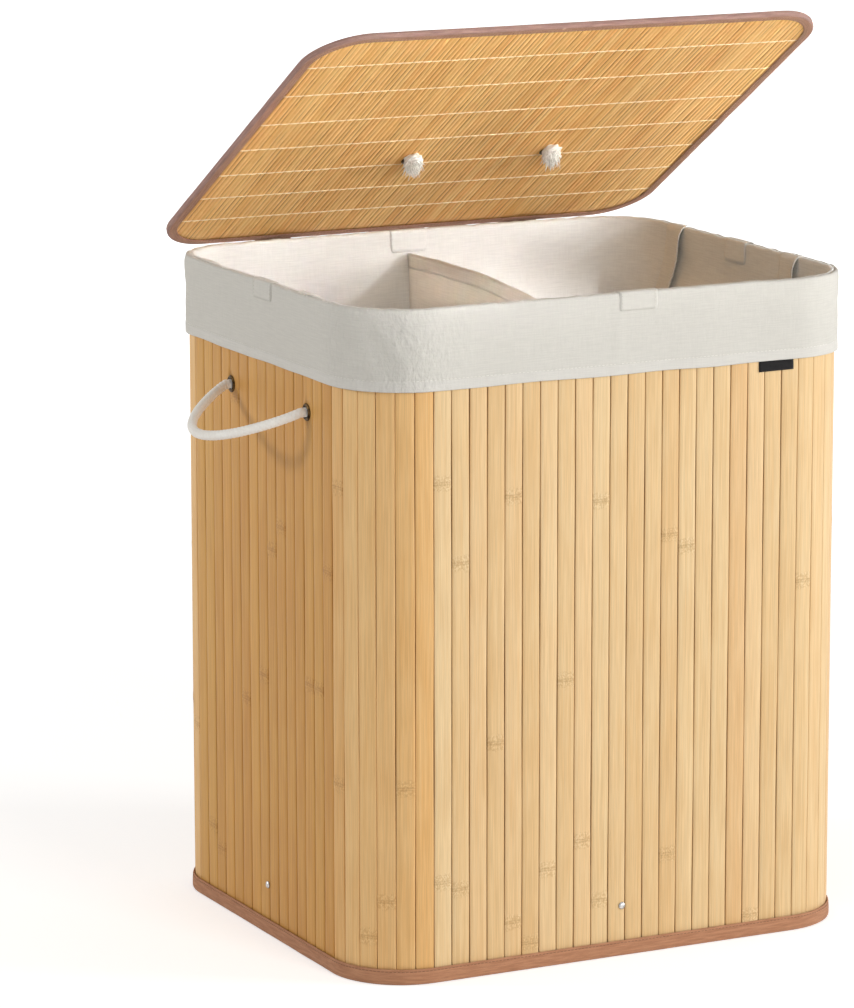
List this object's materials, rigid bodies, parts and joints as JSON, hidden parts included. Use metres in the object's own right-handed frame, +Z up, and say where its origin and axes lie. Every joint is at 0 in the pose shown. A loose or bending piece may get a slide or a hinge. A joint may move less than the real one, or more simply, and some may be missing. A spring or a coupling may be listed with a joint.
{
  "type": "laundry hamper",
  "caption": "Slatted bamboo laundry hamper with a hinged lid, a cloth liner divided into two bins, and rope carrying handles.",
  "frame": {"origin": "on the floor at the middle of the body, on the underside of the base board", "axes": "+X to the right along the front's width, -Y towards the front, +Z up"},
  "size_m": [0.6404, 0.4465, 0.8297],
  "materials": {
    "bamboo": "satin bamboo slats",
    "lid_bamboo": "satin bamboo slats",
    "brown_tape": "woven brown tape",
    "linen": "off-white linen weave",
    "divider_cloth": "plain weave",
    "cotton_rope": "soft cotton rope",
    "dark_brass": "dark aged brass",
    "steel": "plain steel",
    "base_board": "covered board",
    "black_tab": "bare black tape"
  },
  "bodies": {
    "basket": {"wall_front": "bamboo", "wall_back": "bamboo", "wall_left": "bamboo", "wall_right": "bamboo", "corner_front_left": "bamboo", "corner_front_right": "bamboo", "corner_back_left": "bamboo", "corner_back_right": "bamboo", "top_binding": "brown_tape", "bottom_binding": "brown_tape", "hinge_lower_left": "brown_tape", "hinge_lower_right": "brown_tape", "liner": "linen", "rim_tab_front": "linen", "rim_tab_back": "linen", "rim_tab_left": "linen", "rim_tab_right": "linen", "carry_strap_left": "linen", "carry_strap_right": "linen", "divider": "divider_cloth", "knot_left_front": "cotton_rope", "knot_left_back": "cotton_rope", "knot_right_front": "cotton_rope", "knot_right_back": "cotton_rope", "eyelet_left_front": "dark_brass", "eyelet_left_back": "dark_brass", "eyelet_right_front": "dark_brass", "eyelet_right_back": "dark_brass", "base_rivet_front": "steel", "base_rivet_back": "steel", "base_rivet_left": "steel", "base_rivet_right": "steel", "hinge_pin_left": "steel", "hinge_pin_right": "steel", "hinge_rivet_wall_left": "steel", "hinge_rivet_wall_right": "steel", "base_board": "base_board", "label_tab": "black_tab"},
    "lid": {"lid_slats": "lid_bamboo", "lid_binding": "brown_tape", "eyelet_lid_left": "dark_brass", "eyelet_lid_right": "dark_brass", "knot_lid_left": "cotton_rope", "knot_lid_right": "cotton_rope", "hinge_upper_left": "brown_tape", "hinge_upper_right": "brown_tape", "hinge_rivet_lid_left": "steel", "hinge_rivet_lid_right": "steel"},
    "left_handle": {"rope_handle_left": "cotton_rope"},
    "right_handle": {"rope_handle_right": "cotton_rope"},
    "lid_handle": {"rope_handle_lid": "cotton_rope"}
  },
  "joints": [
    {"name": "lid_hinge", "type": "hinge", "parent": "basket", "child": "lid", "pos_m": [0, 0.2171, 0.587], "axis": [-1, 0, 0], "range_deg": [-31.7, 103.3]},
    {"name": "left_handle_swing", "type": "hinge", "parent": "basket", "child": "left_handle", "pos_m": [-0.2533, -0.015, 0.496], "axis": [0, 1, 0], "range_deg": [-66, 103]},
    {"name": "right_handle_swing", "type": "hinge", "parent": "basket", "child": "right_handle", "pos_m": [0.2533, -0.015, 0.496], "axis": [0, -1, 0], "range_deg": [-66, 103]},
    {"name": "lid_handle_swing", "type": "hinge", "parent": "lid", "child": "lid_handle", "pos_m": [0.015, 0.09323, 0.69207], "axis": [1, 0, 0], "range_deg": [-37, 137]}
  ]
}
